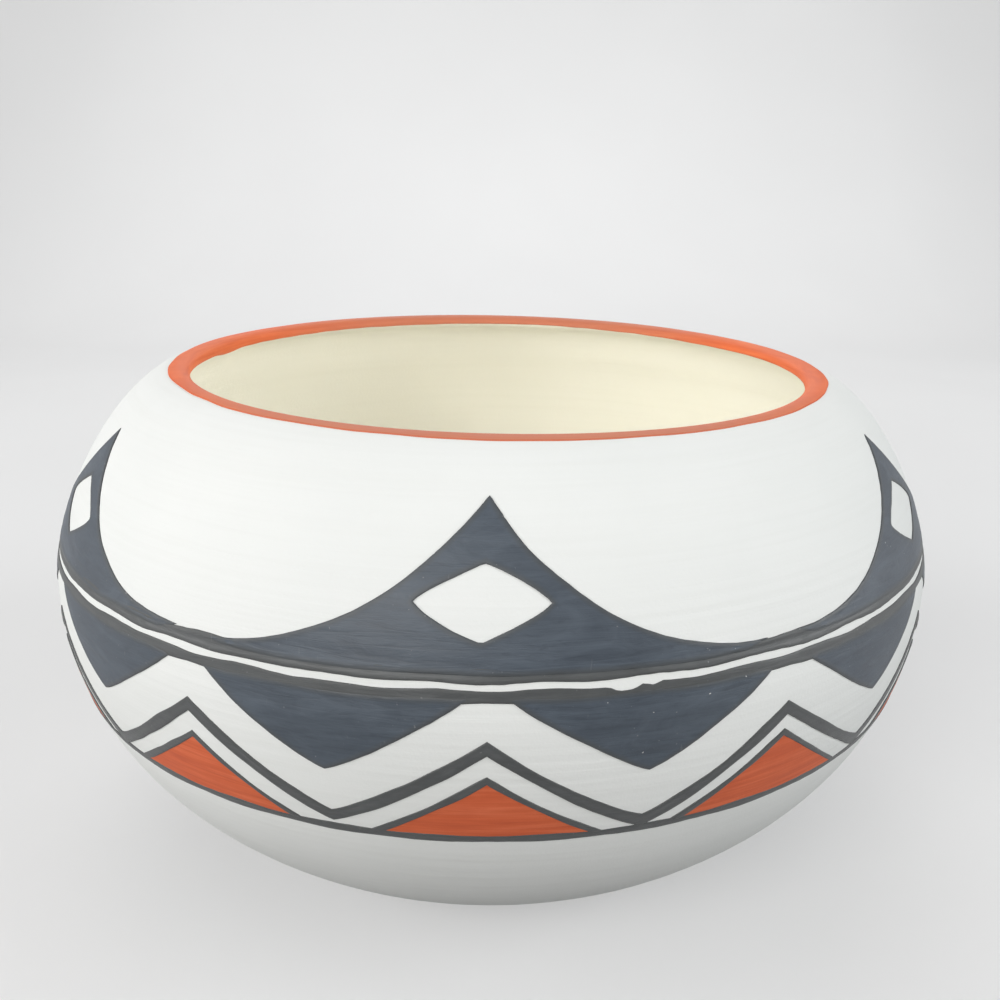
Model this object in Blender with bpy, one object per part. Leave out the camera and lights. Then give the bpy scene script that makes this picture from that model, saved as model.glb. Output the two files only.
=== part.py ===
"""Planter bowl: a squat, in-curved pottery bowl with a slip coat and painted bands.

Metres, +Z up. The origin is the middle of the foot, on the surface that the bowl stands on.
"""

import math

import bmesh
import bpy

MM = 0.001

# Form of the finished outside, from the foot to the lip
FOOT_RADIUS = 33.8 * MM
BELLY_RADIUS = 75.0 * MM
BELLY_HEIGHT = 52.0 * MM
SHOULDER_RISE = 32.25 * MM
LIP_RADIUS = 55.2 * MM

# How far and which way the curve leaves the foot, the belly and the lip
FOOT_PULL = 5.7 * MM
FOOT_SLOPE = 19.5
BELLY_PULL_DOWN = 35.3 * MM
BELLY_PULL_UP = 12.4 * MM
LIP_PULL = 8.5 * MM
LIP_SLOPE = 3.0

# Clay
WALL = 3.4 * MM
FLOOR = 4.6 * MM
FOOT_RING = 7.0 * MM
UNDERSIDE_RECESS = 1.2 * MM

# Films laid on the clay, and the space that keeps two films apart
COAT = 0.4 * MM
PAINT = 0.4 * MM
CLEARANCE = 0.3 * MM
COAT_START = 1.0 * MM

# Lip band: from the innermost line of the rounded lip to this far out on the shoulder
BAND_REACH_OUTSIDE = 1.4 * MM

# Lines round the belly
LOWER_LINE_RISE = 4.6 * MM
LOWER_LINE_WIDTH = 1.4 * MM
LINE_SPACE = 0.9 * MM
UPPER_LINE_WIDTH = 1.7 * MM
BOTTOM_LINE_DROP = 15.2 * MM
BOTTOM_LINE_WIDTH = 0.9 * MM

# Shoulder frieze: peaks with curved sides, each with a leaf left bare in it
PEAK_COUNT = 6
PEAK_SPACE = 1.2
PEAK_CURVE = 2.2
BARE_SHOULDER = 5.8 * MM
LEAF_WIDTH = 13.0
LEAF_FOOT = 2.6 * MM
LEAF_SHARE = 0.62
LEAF_CURVE = 0.75

# Band below: a zigzag line, orange teeth under it and black teeth above it
TOOTH_COUNT = 12
TOOTH_CURVE = 1.15
ZIGZAG_WIDTH = 1.9 * MM
ZIGZAG_HEAD_SPACE = 4.6 * MM
BLACK_TOOTH_SPACE = 7.0 * MM
ORANGE_TOOTH_SPACE = 3.2 * MM

# Facets
TURN_FACETS = 60
CURVE_STEPS = 6
LIP_STEPS = 4
BAND_STEPS = 2
FIGURE_ROWS = 2
TOOTH_STEPS = 3
HALVINGS = 50
JOIN_DISTANCE = 0.001 * MM
FRONT = -90.0

# Colours and roughness
CLAY_LOOK = ((0.74, 0.69, 0.52), 0.85)
SLIP_LOOK = ((0.80, 0.80, 0.77), 0.75)
ORANGE_LOOK = ((0.62, 0.11, 0.04), 0.60)
BLACK_LOOK = ((0.035, 0.038, 0.046), 0.50)

# Places worked out from the sizes above
RIM_HEIGHT = BELLY_HEIGHT + SHOULDER_RISE
LOWER_LINE_FOOT = BELLY_HEIGHT + LOWER_LINE_RISE
LOWER_LINE_TOP = LOWER_LINE_FOOT + LOWER_LINE_WIDTH
UPPER_LINE_FOOT = LOWER_LINE_TOP + LINE_SPACE
UPPER_LINE_TOP = UPPER_LINE_FOOT + UPPER_LINE_WIDTH
BOTTOM_LINE_FOOT = BELLY_HEIGHT - BOTTOM_LINE_DROP
BOTTOM_LINE_TOP = BOTTOM_LINE_FOOT + BOTTOM_LINE_WIDTH
FACET_ANGLE = 360.0 / TURN_FACETS
CLAY_DEPTH = COAT + CLEARANCE
INSIDE_DEPTH = CLAY_DEPTH + WALL


def clear_scene():
    for item in list(bpy.data.objects):
        bpy.data.objects.remove(item)


def make_material(name, look):
    colour, roughness = look
    material = bpy.data.materials.new(name)
    material.use_nodes = True
    shader = material.node_tree.nodes["Principled BSDF"]
    shader.inputs["Base Color"].default_value = (*colour, 1.0)
    shader.inputs["Roughness"].default_value = roughness
    shader.inputs["Metallic"].default_value = 0.0
    return material


# The finished outside is two curves that meet upright at the belly

def cubic(points, share):
    """Point and direction on a cubic curve."""
    rest = 1.0 - share
    weights = (rest**3, 3 * rest**2 * share, 3 * rest * share**2, share**3)
    slopes = (-(rest**2), rest**2 - 2 * rest * share, 2 * rest * share - share**2, share**2)
    place = [sum(w * p[axis] for w, p in zip(weights, points)) for axis in (0, 1)]
    heading = [sum(s * p[axis] for s, p in zip(slopes, points)) for axis in (0, 1)]
    return place, heading


def lower_curve():
    slope = math.radians(FOOT_SLOPE)
    foot_handle = (FOOT_RADIUS + FOOT_PULL * math.cos(slope), FOOT_PULL * math.sin(slope))
    belly_handle = (BELLY_RADIUS, BELLY_HEIGHT - BELLY_PULL_DOWN)
    return (FOOT_RADIUS, 0.0), foot_handle, belly_handle, (BELLY_RADIUS, BELLY_HEIGHT)


def upper_curve():
    slope = math.radians(LIP_SLOPE)
    belly_handle = (BELLY_RADIUS, BELLY_HEIGHT + BELLY_PULL_UP)
    lip_handle = (LIP_RADIUS + LIP_PULL * math.cos(slope), RIM_HEIGHT - LIP_PULL * math.sin(slope))
    return (BELLY_RADIUS, BELLY_HEIGHT), belly_handle, lip_handle, (LIP_RADIUS, RIM_HEIGHT)


def outside(way, lift=0.0):
    """Radius and height on the outside, raised by lift. The way runs from 0 at the foot to 2 at the lip."""
    if way <= 1.0:
        place, heading = cubic(lower_curve(), way)
    else:
        place, heading = cubic(upper_curve(), way - 1.0)
    length = math.hypot(*heading)
    return place[0] + lift * heading[1] / length, place[1] - lift * heading[0] / length


def find_change(test, low, high):
    """Where a test turns from true to false."""
    for _ in range(HALVINGS):
        middle = (low + high) / 2
        if test(middle):
            low = middle
        else:
            high = middle
    return (low + high) / 2


def way_at(height, lift=0.0):
    """The way along the outside at which it reaches a height."""
    return find_change(lambda way: outside(way, lift)[1] < height, 0.0, 2.0)


def shoulder_way(radius):
    """The way along the shoulder at which it comes in to a radius."""
    return find_change(lambda way: outside(way)[0] > radius, 1.0, 2.0)


def stretch(start, end, steps, lift):
    """Points along the outside from one way to another."""
    return [outside(start + (end - start) * i / steps, lift) for i in range(steps + 1)]


def clay_steps(start, end):
    """Ways from start down to end at the clay's own steps, so that facets lie over facets."""
    steps = [2.0 - i / CURVE_STEPS for i in range(2 * CURVE_STEPS + 1)]
    return [start, *(way for way in steps if end < way < start), end]


def lip_round(grow):
    """The rounded end of the wall, from its inside to its outside, grown by a film's space."""
    outer, inner = outside(2.0, -CLAY_DEPTH), outside(2.0, -INSIDE_DEPTH)
    middle = ((outer[0] + inner[0]) / 2, (outer[1] + inner[1]) / 2)
    up = ((outer[0] - inner[0]) / WALL, (outer[1] - inner[1]) / WALL)
    tip = (-up[1], up[0])
    reach = WALL / 2 + grow
    points = []
    for i in range(LIP_STEPS + 1):
        turn = math.pi * i / LIP_STEPS
        along_up, along_tip = -reach * math.cos(turn), reach * math.sin(turn)
        points.append(
            (
                middle[0] + along_up * up[0] + along_tip * tip[0],
                middle[1] + along_up * up[1] + along_tip * tip[1],
            )
        )
    return points


# Ways of making a solid

def add_object(name, mesh, material, parent):
    piece = bpy.data.objects.new(name, mesh)
    bpy.context.scene.collection.objects.link(piece)
    piece.parent = parent
    if not mesh.materials:
        mesh.materials.append(material)
    return piece


def thicken(piece, depth):
    solidify = piece.modifiers.new("film", "SOLIDIFY")
    solidify.thickness = depth
    solidify.offset = 1.0
    solidify.use_even_offset = True


def turned(name, profile, material, parent):
    """A profile of radius and height, from the inside over the top to the outside, turned round Z."""
    mesh = bpy.data.meshes.new(name)
    vertices = [(radius, 0.0, height) for radius, height in profile]
    mesh.from_pydata(vertices, [(i, i + 1) for i in range(len(vertices) - 1)], [])
    piece = add_object(name, mesh, material, parent)
    screw = piece.modifiers.new("turn", "SCREW")
    screw.axis = "Z"
    screw.angle = math.tau
    screw.steps = TURN_FACETS
    screw.render_steps = TURN_FACETS
    screw.use_merge_vertices = True
    screw.merge_threshold = JOIN_DISTANCE
    screw.use_smooth_shade = True
    return piece


def on_coat(angle, height):
    """Where paint of a figure lies, on the slip coat."""
    radius, raised = outside(way_at(height), CLEARANCE)
    turn = math.radians(angle)
    return radius * math.cos(turn), radius * math.sin(turn), raised


def patch_mesh(name, strips, closed=False):
    """A patch on the slip coat. A strip is a row of (angle, heights) columns."""
    shape = bmesh.new()
    for columns in strips:
        grid = [[shape.verts.new(on_coat(angle, z)) for z in heights] for angle, heights in columns]
        if closed:
            grid.append(grid[0])
        for left, right in zip(grid, grid[1:]):
            for i in range(len(left) - 1):
                shape.faces.new((left[i], right[i], right[i + 1], left[i + 1]))
    bmesh.ops.remove_doubles(shape, verts=shape.verts, dist=JOIN_DISTANCE)
    mesh = bpy.data.meshes.new(name)
    shape.to_mesh(mesh)
    shape.free()
    mesh.shade_smooth()
    return mesh


def rows(low, high, steps):
    return [low + (high - low) * i / steps for i in range(steps + 1)]


def repeated(name, mesh, count, material, parent):
    """Copies of one figure, evenly round the bowl."""
    for i in range(count):
        piece = add_object(f"{name}_{i + 1:02d}", mesh, material, parent)
        piece.rotation_euler.z = math.tau * i / count
        thicken(piece, PAINT)


# Sub-parts

def clay_bowl(material, parent):
    floor_way = way_at(FLOOR, -INSIDE_DEPTH)
    inside = stretch(floor_way, 2.0, 2 * CURVE_STEPS, -INSIDE_DEPTH)
    body = stretch(2.0, 0.0, 2 * CURVE_STEPS, -CLAY_DEPTH)
    foot_edge = body[-1][0]
    ring_edge = foot_edge - FOOT_RING
    profile = [(0.0, FLOOR), *inside[:-1], *lip_round(0.0), *body[1:-1]]
    profile += [(foot_edge, 0.0), (ring_edge, 0.0)]
    profile += [(ring_edge - UNDERSIDE_RECESS, UNDERSIDE_RECESS), (0.0, UNDERSIDE_RECESS)]
    return turned("clay_bowl", profile, material, parent)


def white_slip_coat(material, parent):
    top = shoulder_way(LIP_RADIUS + BAND_REACH_OUTSIDE + CLEARANCE)
    low = way_at(COAT_START)
    profile = [outside(way, -COAT) for way in clay_steps(top, low)]
    coat = turned("white_slip_coat", profile, material, parent)
    thicken(coat, COAT)


def orange_lip_band(material, parent):
    edge = shoulder_way(LIP_RADIUS + BAND_REACH_OUTSIDE)
    over_lip = lip_round(CLEARANCE)[LIP_STEPS // 2:]
    profile = [*over_lip, *stretch(2.0, edge, BAND_STEPS, -COAT)[1:]]
    band = turned("orange_lip_band", profile, material, parent)
    thicken(band, COAT)


def belly_line(name, foot, top, material, parent):
    profile = [outside(way_at(top), CLEARANCE), outside(way_at(foot), CLEARANCE)]
    line = turned(name, profile, material, parent)
    thicken(line, PAINT)


def shoulder_peaks(material, parent):
    half_width = 180.0 / PEAK_COUNT - PEAK_SPACE
    half_leaf = LEAF_WIDTH / 2
    foot = UPPER_LINE_TOP + CLEARANCE
    height = RIM_HEIGHT - BARE_SHOULDER - foot
    leaf_low, leaf_high = foot + LEAF_FOOT, foot + LEAF_SHARE * height
    leaf_middle = (leaf_low + leaf_high) / 2

    def edge(angle):
        return foot + height * max(0.0, 1.0 - abs(angle) / half_width) ** PEAK_CURVE

    def leaf(angle):
        return (leaf_high - leaf_low) / 2 * max(0.0, 1.0 - abs(angle) / half_leaf) ** LEAF_CURVE

    side_steps = math.ceil((half_width - half_leaf) / FACET_ANGLE)
    leaf_steps = math.ceil(half_leaf / FACET_ANGLE) + 1
    right = rows(0.0, half_leaf, leaf_steps) + rows(half_leaf, half_width, side_steps)[1:]
    angles = [-angle for angle in reversed(right[1:])] + right
    below, above = [], []
    for angle in angles:
        middle = min(leaf_middle, (foot + edge(angle)) / 2)
        below.append((FRONT + angle, rows(foot, middle - leaf(angle), FIGURE_ROWS)))
        above.append((FRONT + angle, rows(middle + leaf(angle), edge(angle), FIGURE_ROWS)))
    mesh = patch_mesh("shoulder_peak", [below, above])
    repeated("shoulder_peak", mesh, PEAK_COUNT, material, parent)


# The zigzag is a line of tents: its middle height at an angle from a tent's middle

def zigzag_middle(angle):
    half = 180.0 / TOOTH_COUNT
    low = BOTTOM_LINE_TOP + ZIGZAG_WIDTH / 2 + CLEARANCE
    high = LOWER_LINE_FOOT - ZIGZAG_HEAD_SPACE - ZIGZAG_WIDTH / 2
    return low + (high - low) * max(0.0, 1.0 - abs(angle) / half) ** TOOTH_CURVE


def tooth_angles(half, steps):
    right = rows(0.0, half, steps)
    return [-angle for angle in reversed(right[1:])] + right


def zigzag_line(material, parent):
    step = 360.0 / TOOTH_COUNT
    columns = []
    for i in range(TOOTH_COUNT):
        for angle in tooth_angles(step / 2, TOOTH_STEPS)[:-1]:
            middle = zigzag_middle(angle)
            heights = [middle - ZIGZAG_WIDTH / 2, middle + ZIGZAG_WIDTH / 2]
            columns.append((FRONT + i * step + angle, heights))
    mesh = patch_mesh("zigzag_black_line", [columns], closed=True)
    thicken(add_object("zigzag_black_line", mesh, material, parent), PAINT)


def orange_teeth(material, parent):
    foot = BOTTOM_LINE_TOP + CLEARANCE
    drop = ZIGZAG_WIDTH / 2 + ORANGE_TOOTH_SPACE

    def edge(angle):
        return zigzag_middle(angle) - drop

    half = find_change(lambda angle: edge(angle) > foot, 0.0, 180.0 / TOOTH_COUNT)
    columns = []
    for angle in tooth_angles(half, TOOTH_STEPS):
        columns.append((FRONT + angle, rows(foot, max(foot, edge(angle)), FIGURE_ROWS)))
    mesh = patch_mesh("orange_tooth", [columns])
    repeated("orange_tooth", mesh, TOOTH_COUNT, material, parent)


def black_teeth(material, parent):
    top = LOWER_LINE_FOOT - CLEARANCE
    rise = ZIGZAG_WIDTH / 2 + BLACK_TOOTH_SPACE
    step = 180.0 / TOOTH_COUNT

    def edge(angle):
        return zigzag_middle(step - abs(angle)) + rise

    half = find_change(lambda angle: edge(angle) < top, 0.0, step)
    columns = []
    for angle in tooth_angles(half, TOOTH_STEPS):
        columns.append((FRONT + step + angle, rows(min(top, edge(angle)), top, FIGURE_ROWS)))
    mesh = patch_mesh("black_tooth", [columns])
    repeated("black_tooth", mesh, TOOTH_COUNT, material, parent)


def main():
    clear_scene()
    bowl = bpy.data.objects.new("planter_bowl", None)
    bpy.context.scene.collection.objects.link(bowl)
    clay = make_material("cream_clay", CLAY_LOOK)
    slip = make_material("white_slip", SLIP_LOOK)
    orange = make_material("orange_paint", ORANGE_LOOK)
    black = make_material("black_paint", BLACK_LOOK)
    clay_bowl(clay, bowl)
    white_slip_coat(slip, bowl)
    orange_lip_band(orange, bowl)
    belly_line("upper_black_line", UPPER_LINE_FOOT, UPPER_LINE_TOP, black, bowl)
    belly_line("lower_black_line", LOWER_LINE_FOOT, LOWER_LINE_TOP, black, bowl)
    belly_line("bottom_black_line", BOTTOM_LINE_FOOT, BOTTOM_LINE_TOP, black, bowl)
    shoulder_peaks(black, bowl)
    zigzag_line(black, bowl)
    black_teeth(black, bowl)
    orange_teeth(orange, bowl)


main()
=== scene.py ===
"""Looks of the planter bowl: clay, slip and hand painted films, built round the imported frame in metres."""

import math

import bpy
import numpy as np
from mathutils import Matrix, Vector


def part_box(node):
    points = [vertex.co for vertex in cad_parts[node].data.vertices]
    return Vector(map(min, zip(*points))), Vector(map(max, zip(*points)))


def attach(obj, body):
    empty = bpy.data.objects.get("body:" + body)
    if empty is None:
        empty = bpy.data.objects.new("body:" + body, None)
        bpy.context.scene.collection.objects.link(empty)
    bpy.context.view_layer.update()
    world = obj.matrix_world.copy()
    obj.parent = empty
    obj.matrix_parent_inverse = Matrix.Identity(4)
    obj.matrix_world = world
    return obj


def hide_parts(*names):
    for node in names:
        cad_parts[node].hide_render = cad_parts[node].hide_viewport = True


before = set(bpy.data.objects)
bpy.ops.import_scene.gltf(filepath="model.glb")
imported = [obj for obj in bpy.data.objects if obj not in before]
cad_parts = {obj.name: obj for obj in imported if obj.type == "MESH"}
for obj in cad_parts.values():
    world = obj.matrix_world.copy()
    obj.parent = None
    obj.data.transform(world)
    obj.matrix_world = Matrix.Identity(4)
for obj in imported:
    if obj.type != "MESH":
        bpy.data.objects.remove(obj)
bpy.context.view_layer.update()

MM = 0.001

# Form of the finished outside: the frame's own curve
FOOT_RADIUS = 33.8 * MM
BELLY_RADIUS = 75.0 * MM
BELLY_HEIGHT = 52.0 * MM
RIM_HEIGHT = 84.25 * MM
LIP_RADIUS = 55.2 * MM
FOOT_PULL = 5.7 * MM
FOOT_SLOPE = math.radians(19.5)
BELLY_PULL_DOWN = 35.3 * MM
BELLY_PULL_UP = 12.4 * MM
LIP_PULL = 8.5 * MM
LIP_SLOPE = math.radians(3.0)
WALL = 4.1 * MM
LIP_THICKNESS = 2.6 * MM
LIP_NOSE = 2.05 * MM
LIP_TAPER = 14.0 * MM
FLOOR = 4.6 * MM
FOOT_RING = 7.0 * MM
UNDERSIDE_RECESS = 1.2 * MM

# Films: how thick they lie, and how far they sink into what is under them
COAT = 0.35 * MM
ORANGE_FILM = 0.06 * MM
LIP_FILM = 2.4 * ORANGE_FILM
BLACK_FILM = 0.13 * MM
FILL_FILM = 1.15 * BLACK_FILM
ZIGZAG_FILM = 1.1 * BLACK_FILM
SINK = 0.05 * MM

# A film's edge: distances in from it and the shares of the film's thickness there, how far in its outline
# reaches, and how far outside it distances stop counting
EDGE_LEVELS = (0.0, 0.12 * MM, 0.35 * MM, 0.8 * MM)
EDGE_LIFT = (0.8, 1.0, 1.15, 1.0)
OUTLINE = 1.1 * MM
FAR_OUTSIDE = 0.5 * MM

# Lip band: the length of wall beside the lip that it may use, and how far it reaches from the lip's innermost
# line and from the shoulder's end
LIP_REACH = 9.0 * MM
BAND_REACH_INSIDE = 0.7 * MM
BAND_REACH_OUTSIDE = 1.15 * MM

# Lip band: how far its edges wander, angles, widths in degrees and amounts by which they move, and one drip
BAND_WANDER_INSIDE = 0.13 * MM
BAND_TREMBLE_INSIDE = 0.03 * MM
BAND_WANDER_OUTSIDE = 0.16 * MM
BAND_TREMBLE_OUTSIDE = 0.06 * MM
BAND_BACK_INSIDE = (90.0, 38.0, 0.5 * MM)
BAND_OUTSIDE = ((270.0, 60.0, 0.30 * MM), (40.0, 28.0, -0.8 * MM), (140.0, 28.0, -0.8 * MM))
DRIP_ANGLE = 166.5
DRIP_WIDTH = 3.2
DRIP_LENGTH = 1.0 * MM
BAND_OUTLINE = 0.12

# Painted shade: where the lip band is painted darker and duller at the front and back, as distances from the
# bowl's middle, and how much
LIP_SHADE_START = 25 * MM
LIP_SHADE_END = 50 * MM
LIP_SHADE_SHARE = 0.7

# Chips in the lower line: angle, width in degrees and depth
LOWER_LINE_CHIPS = ((-77.5, 1.3, 0.6 * MM), (-75.0, 0.6, 0.4 * MM))

# Painted figures
PEAK_CURVE = 2.2
PEAK_SPACE = 1.2
PEAK_LAP = 1.0 * MM
PEAK_TAIL = 3.0
LEAF_HALF = 6.5
LEAF_FOOT = 2.6 * MM
LEAF_SHARE = 0.62
LEAF_CURVE = 0.75
TOOTH_CURVE = 1.15
ZIGZAG_WIDTH = 1.9 * MM
BLACK_TOOTH_SPACE = 7.0 * MM
ORANGE_TOOTH_SPACE = 3.2 * MM
OUTLINE_WIDTH = 1.0 * MM

# How far the edges of painted figures wander
LINE_WOBBLE = 0.11 * MM
PEAK_WOBBLE = 0.09 * MM
ZIGZAG_WOBBLE = 0.10 * MM
BLACK_TOOTH_WOBBLE = 0.10 * MM
ORANGE_TOOTH_WOBBLE = 0.08 * MM
ZIGZAG_WANDER = 0.3 * MM
OUTLINE_WANDER = 0.25 * MM

# Seeds of the unevenness. A figure's films use the seeds that follow its own, a step apart
PATTERN_SEED = 416
SLIP_SEED = 31
LIP_SEED = 51
ZIGZAG_WANDER_SEED = 61
OUTLINE_WANDER_SEED = 62
LINE_SEED = 100
PEAK_SEED = 200
ZIGZAG_SEED = 310
BLACK_TOOTH_SEED = 400
ORANGE_TOOTH_SEED = 600
SEED_STEP = 10

# Unevenness of work done by hand
LEAN_X = 0.0178
LEAN_Y = -0.0176
RIM_DROP = 0.25 * MM
MOUTH_SHIFT_X = 1.08 * MM
MOUTH_SHIFT_Y = 0.5 * MM
LEAN_GROWTH = 6.8
WALL_WAVE = 0.08 * MM
TURNING_RIPPLE = 0.012 * MM
BRUSH_RELIEF = 0.018 * MM

# Fineness of the meshes, where the pattern starts, and its counts
TURN_FACETS = 288
SLIP_STEPS = 260
INSIDE_STEPS = 120
HIDDEN_STEPS = 45
LIP_STEPS = 20
CELL_ROUND = 0.65 * MM
CELL_UP = 0.30 * MM
FRONT = -90.0
PEAK_COUNT = 6
TOOTH_COUNT = 12

# The photograph's camera, in the frame of the bowl
CAMERA_PLACE = Vector((1.4 * MM, -171.6 * MM, 111.5 * MM))
CAMERA_PITCH = math.radians(17.5)
CAMERA_ROLL = math.radians(-0.27)
FOCAL_SHARE = 0.96
SENSOR = 36.0

# Stage: a floor that sweeps up into a backdrop, its colours, where it darkens towards the lamps, and how
# strongly it shows by itself near the bowl and far from it
SWEEP_HALF = 2.0
SWEEP_BACK = 0.9
SWEEP_RISE = 1.4
SWEEP_BEND = 0.35
SWEEP_DROP = 0.05 * MM
FLOOR_LOW = (0.54, 0.54, 0.54)
FLOOR_HIGH = (0.57, 0.57, 0.57)
FLOOR_FAR = (0.10, 0.10, 0.10)
FLOOR_BOUNCED = (0.12, 0.12, 0.12)
FAR_ASIDE = (0.38, 0.75)
FAR_AHEAD = (-0.45, -0.10)
FLOOR_GLOW = (0.26, 0.55)

# Lamps and world
LAMP_SIZE = 0.8
MOUTH_LAMP_DISTANCE = 1.1
MOUTH_LAMP_BLEND = 0.8
MOUTH_LAMP_SIZE = 0.004
WORLD_LIGHT = 0.15
WORLD_SHOWN = 0.68

draw = np.random.default_rng(PATTERN_SEED)


# The outside curve as a table that heights are looked up in

def cubic(points, share):
    """Points and directions along a cubic curve."""
    p = np.array(points)
    rest = 1.0 - share
    weights = np.stack([rest**3, 3 * rest**2 * share, 3 * rest * share**2, share**3], -1)
    slopes = np.stack([-(rest**2), rest**2 - 2 * rest * share, 2 * rest * share - share**2, share**2], -1)
    return weights @ p, slopes @ p


def outside_table(steps=1500):
    """Radius, height, direction out of the wall and length from the foot, all along the outside."""
    share = np.linspace(0.0, 1.0, steps)
    foot = (FOOT_RADIUS, 0.0)
    foot_handle = (FOOT_RADIUS + FOOT_PULL * math.cos(FOOT_SLOPE), FOOT_PULL * math.sin(FOOT_SLOPE))
    belly = (BELLY_RADIUS, BELLY_HEIGHT)
    below = (BELLY_RADIUS, BELLY_HEIGHT - BELLY_PULL_DOWN)
    above = (BELLY_RADIUS, BELLY_HEIGHT + BELLY_PULL_UP)
    lip = (LIP_RADIUS, RIM_HEIGHT)
    lip_handle = (LIP_RADIUS + LIP_PULL * math.cos(LIP_SLOPE), RIM_HEIGHT - LIP_PULL * math.sin(LIP_SLOPE))
    low_place, low_way = cubic((foot, foot_handle, below, belly), share)
    high_place, high_way = cubic((belly, above, lip_handle, lip), share[1:])
    place, way = np.vstack([low_place, high_place]), np.vstack([low_way, high_way])
    way /= np.linalg.norm(way, axis=1, keepdims=True)
    run = np.concatenate([[0.0], np.cumsum(np.linalg.norm(np.diff(place, axis=0), axis=1))])
    return place[:, 0], place[:, 1], way[:, 1], -way[:, 0], run


RADIUS, HEIGHT, NORMAL_OUT, NORMAL_UP, RUN = outside_table()


def profile_at(height, lift=0.0):
    """Radius and height on the outside at a height, raised by lift."""
    radius = np.interp(height, HEIGHT, RADIUS) + lift * np.interp(height, HEIGHT, NORMAL_OUT)
    return radius, height + lift * np.interp(height, HEIGHT, NORMAL_UP)


def profile_along(run, lift=0.0):
    """Radius and height on the outside at a length along it from the foot, raised by lift."""
    radius = np.interp(run, RUN, RADIUS) + lift * np.interp(run, RUN, NORMAL_OUT)
    return radius, np.interp(run, RUN, HEIGHT) + lift * np.interp(run, RUN, NORMAL_UP)


def hand_made(points):
    """The small unevenness of the whole bowl: a leaning rim and a faintly wavy wall."""
    x, y, z = np.asarray(points, float).T
    angle = np.arctan2(y, x)
    share = np.clip(z / RIM_HEIGHT, 0.0, 1.0)
    lean = share**LEAN_GROWTH
    wave = np.sin(2 * angle + 0.6) * np.sin(math.pi * share)
    wave += 0.6 * np.sin(3 * angle + 2.1 + 4.0 * share) * np.sin(math.pi * share)
    grow = 1.0 + WALL_WAVE * wave / BELLY_RADIUS
    across, along = x * grow + MOUTH_SHIFT_X * lean, y * grow + MOUTH_SHIFT_Y * lean
    return np.stack([across, along, z - (LEAN_X * x + LEAN_Y * y + RIM_DROP) * lean], -1)


def waves(angle, height, seed, around, up, count=7):
    """Smooth noise from -1 to 1 that closes round the bowl."""
    rng = np.random.default_rng(seed)
    total = np.zeros(np.broadcast(angle, height).shape)
    for _ in range(count):
        turns = rng.integers(1, around + 1)
        climb = rng.uniform(-up, up)
        total += np.sin(turns * np.radians(angle) + climb * height / MM + rng.uniform(0, math.tau))
    return total / math.sqrt(count)


# Meshes

def make_mesh(name, points, faces):
    """A smooth mesh from arrays of points and of faces with equal numbers of sides."""
    mesh = bpy.data.meshes.new(name)
    sides = faces.shape[1]
    mesh.vertices.add(len(points))
    mesh.vertices.foreach_set("co", np.ascontiguousarray(points, np.float32).ravel())
    mesh.loops.add(faces.size)
    mesh.loops.foreach_set("vertex_index", np.ascontiguousarray(faces, np.int32).ravel())
    mesh.polygons.add(len(faces))
    mesh.polygons.foreach_set("loop_start", np.arange(0, faces.size, sides, dtype=np.int32))
    mesh.update(calc_edges=True)
    mesh.validate()
    mesh.shade_smooth()
    return mesh


def add_piece(name, points, faces, material, node, inner=None):
    """A piece of the bowl in the place of a CAD node. inner is 0 at a film's edge and 1 well inside it."""
    piece = bpy.data.objects.new(name, make_mesh(name, points, faces))
    bpy.context.scene.collection.objects.link(piece)
    if inner is not None:
        layer = piece.data.attributes.new("inner", "FLOAT", "POINT")
        layer.data.foreach_set("value", np.ascontiguousarray(inner, np.float32))
    piece.data.materials.append(material)
    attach(piece, "root")
    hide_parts(node)


def ring_faces(row_count, closed_rows):
    """Triangles between rings of TURN_FACETS points. The first ring is the inner or upper one."""
    rows = np.arange(row_count if closed_rows else row_count - 1)
    row, column = np.meshgrid(rows, np.arange(TURN_FACETS), indexing="ij")
    below, after = (row + 1) % row_count, (column + 1) % TURN_FACETS
    a, b = row * TURN_FACETS + column, row * TURN_FACETS + after
    c, d = below * TURN_FACETS + after, below * TURN_FACETS + column
    return np.concatenate([np.stack([a, d, c], -1).reshape(-1, 3), np.stack([a, c, b], -1).reshape(-1, 3)])


def ring_points(radius, height):
    """Points of rings whose radius and height may change round the turn."""
    angle = np.arange(TURN_FACETS) * math.tau / TURN_FACETS
    radius, height = np.atleast_2d(radius), np.atleast_2d(height)
    x, y = radius * np.cos(angle), radius * np.sin(angle)
    return np.stack([x, y, np.broadcast_to(height, x.shape)], -1).reshape(-1, 3)


def turn_angles():
    """The angles of a ring's points, in degrees."""
    return np.arange(TURN_FACETS) * 360.0 / TURN_FACETS


# Painted films: a field of distances from the edge, cut at its levels and laid on the slip

def split_at(level, points, values, faces):
    """Splits triangles where the field crosses a level."""
    inside = values > level
    count = inside[faces].sum(1)
    whole = faces[(count == 0) | (count == 3)]
    cut = faces[(count == 1) | (count == 2)]
    if len(cut) == 0:
        return points, values, faces
    lone = np.where((inside[cut].sum(1) == 1)[:, None], inside[cut], ~inside[cut]).argmax(1)
    row = np.arange(len(cut))
    a, b, c = cut[row, lone], cut[row, (lone + 1) % 3], cut[row, (lone + 2) % 3]
    pairs = np.concatenate([np.stack([a, b], -1), np.stack([a, c], -1)])
    keys, index = np.unique(np.sort(pairs, axis=1), axis=0, return_inverse=True)
    share = (level - values[keys[:, 0]]) / (values[keys[:, 1]] - values[keys[:, 0]])
    share = share[:, None]
    made = points[keys[:, 0]] * (1 - share) + points[keys[:, 1]] * share
    on_ab, on_ac = np.split(index.reshape(-1) + len(points), 2)
    parts = [np.stack([a, on_ab, on_ac], -1), np.stack([on_ab, b, c], -1), np.stack([on_ab, c, on_ac], -1)]
    points = np.concatenate([points, made])
    values = np.concatenate([values, np.full(len(made), level)])
    return points, values, np.concatenate([whole, *parts])


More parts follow.
